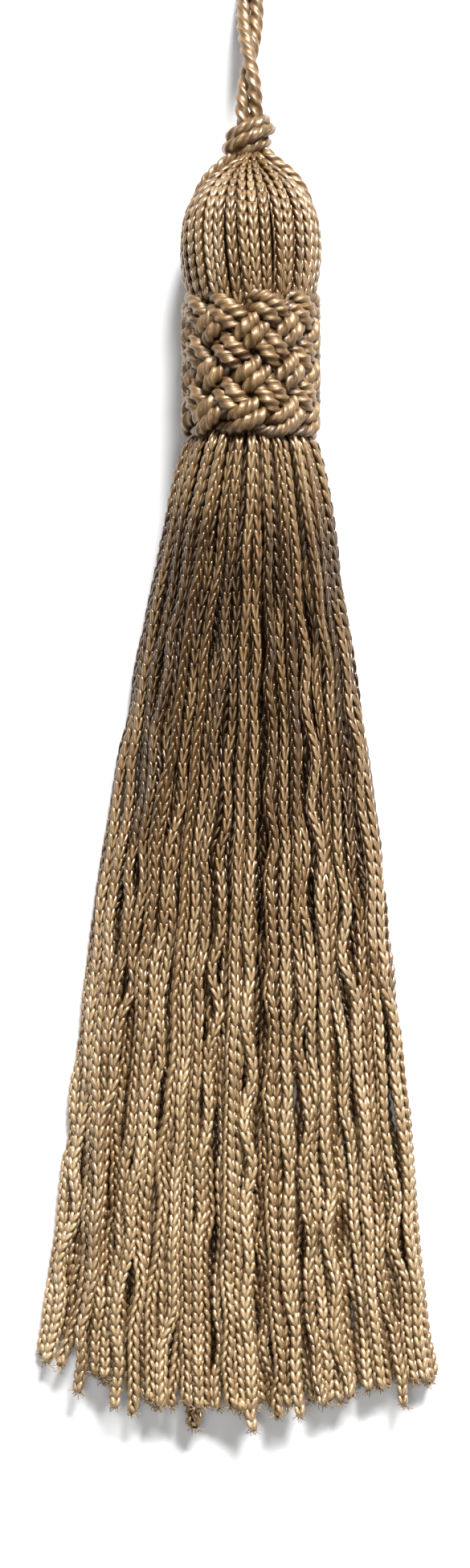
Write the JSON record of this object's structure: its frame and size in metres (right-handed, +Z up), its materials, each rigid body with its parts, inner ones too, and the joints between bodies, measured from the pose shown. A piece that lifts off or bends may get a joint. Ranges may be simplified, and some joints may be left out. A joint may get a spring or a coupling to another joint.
{
  "type": "silk tassel",
  "caption": "Key tassel of chain-knitted strands with a domed head, a plaited collar, a knot and a twisted hanging loop, lying flat.",
  "frame": {"origin": "on the surface that the tassel lies on, under the middle of the box round its head, collar, knot and skirt; the hanging loop isn't counted", "axes": "+Y along the tassel from the strand ends to the hanging loop, +Z up from the surface, +X to the right seen from above with the loop at the top"},
  "size_m": [0.0454, 0.1947, 0.0161],
  "materials": {
    "chain_knitted_rayon": "satin, bronze gold, knitted chain cord",
    "plaited_rayon_cord": "satin, bronze gold, plaited twisted cord",
    "twisted_rayon_cord": "satin, bronze gold, three-ply twisted cord"
  },
  "bodies": {
    "root": {"head_and_skirt": "chain_knitted_rayon", "collar_plait": "plaited_rayon_cord", "cord_knot": "twisted_rayon_cord", "hanging_cord": "twisted_rayon_cord"}
  },
  "joints": []
}
